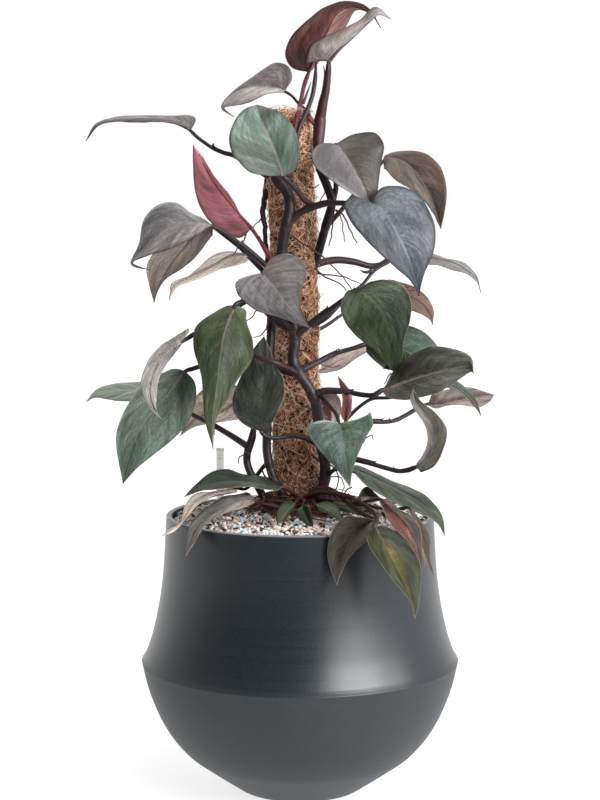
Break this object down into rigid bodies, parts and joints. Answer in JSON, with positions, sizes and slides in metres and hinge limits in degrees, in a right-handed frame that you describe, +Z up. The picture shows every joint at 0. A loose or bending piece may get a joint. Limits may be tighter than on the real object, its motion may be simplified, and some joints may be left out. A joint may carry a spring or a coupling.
{
  "type": "potted climbing philodendron",
  "caption": "Climbing philodendron with heart-shaped dark red and grey-green leaves, tied to a leaning coir pole in a round shouldered metal planter with a gravel top layer and a water gauge.",
  "frame": {"origin": "centre of the planter's foot, on the floor", "axes": "+Z up along the planter's axis; -Y is the front of the plant, towards the viewer of the picture; +X is to that viewer's right"},
  "size_m": [0.46, 0.3822, 0.8555],
  "materials": {
    "coir": "shaggy brown coconut fibre",
    "gauge_cap": "smooth white plastic",
    "gauge_clear": "translucent white plastic with a small yellow mark",
    "gravel": "mixed cream pumice, dark brown lava and pale blue-grey zeolite grains",
    "leaf_blue": "satin blue-grey upper face",
    "leaf_brown": "satin brown-grey underside",
    "leaf_dark": "dark grey-green",
    "leaf_green": "satin olive green with paler midrib",
    "leaf_grey": "satin grey-green upper face, brownish underside",
    "leaf_pale": "pale pinkish underside",
    "leaf_red": "satin dark red underside",
    "leaf_small": "fresh green young leaf",
    "leaf_young": "satin rose-red young leaf",
    "planter_metal": "satin anthracite, finely brushed upper band over a matt bowl",
    "soil": "dark crumbly potting soil",
    "stake_wood": "plain sawn wood",
    "stem": "smooth satin aubergine-black bark with leaf scars"
  },
  "bodies": {
    "root": {"planter": "planter_metal", "root_ball": "soil", "gravel_layer": "gravel", "pole_stake": "stake_wood", "pole_coir": "coir", "gauge_tube": "gauge_clear", "gauge_cap": "gauge_cap", "stem_main": "stem", "stem_right": "stem", "stem_left": "stem", "stem_low_left": "stem", "leaf_01": "leaf_red", "leaf_02": "leaf_grey", "leaf_03": "leaf_grey", "leaf_04": "leaf_grey", "leaf_05": "leaf_green", "leaf_06": "leaf_young", "leaf_07": "leaf_grey", "leaf_08": "leaf_brown", "leaf_09": "leaf_pale", "leaf_10": "leaf_grey", "leaf_11": "leaf_brown", "leaf_12": "leaf_blue", "leaf_13": "leaf_pale", "leaf_14": "leaf_brown", "leaf_15": "leaf_grey", "leaf_16": "leaf_green", "leaf_17": "leaf_green", "leaf_18": "leaf_pale", "leaf_19": "leaf_green", "leaf_20": "leaf_green", "leaf_21": "leaf_green", "leaf_22": "leaf_dark", "leaf_23": "leaf_brown", "leaf_24": "leaf_dark", "leaf_25": "leaf_green", "leaf_26": "leaf_green", "leaf_27": "leaf_pale", "leaf_28": "leaf_green", "leaf_29": "leaf_young", "leaf_30": "leaf_pale", "leaf_31": "leaf_brown", "leaf_32": "leaf_green", "leaf_33": "leaf_pale", "leaf_34": "leaf_green", "leaf_35": "leaf_green", "leaf_36": "leaf_dark", "leaf_37": "leaf_green", "leaf_38": "leaf_young", "leaf_39": "leaf_brown", "leaf_40": "leaf_dark", "leaf_41": "leaf_green", "leaf_42": "leaf_green", "leaf_43": "leaf_green", "leaf_44": "leaf_green", "leaf_45": "leaf_green", "leaf_46": "leaf_green", "leaf_47": "leaf_green", "base_shoot": "leaf_small"}
  },
  "joints": []
}
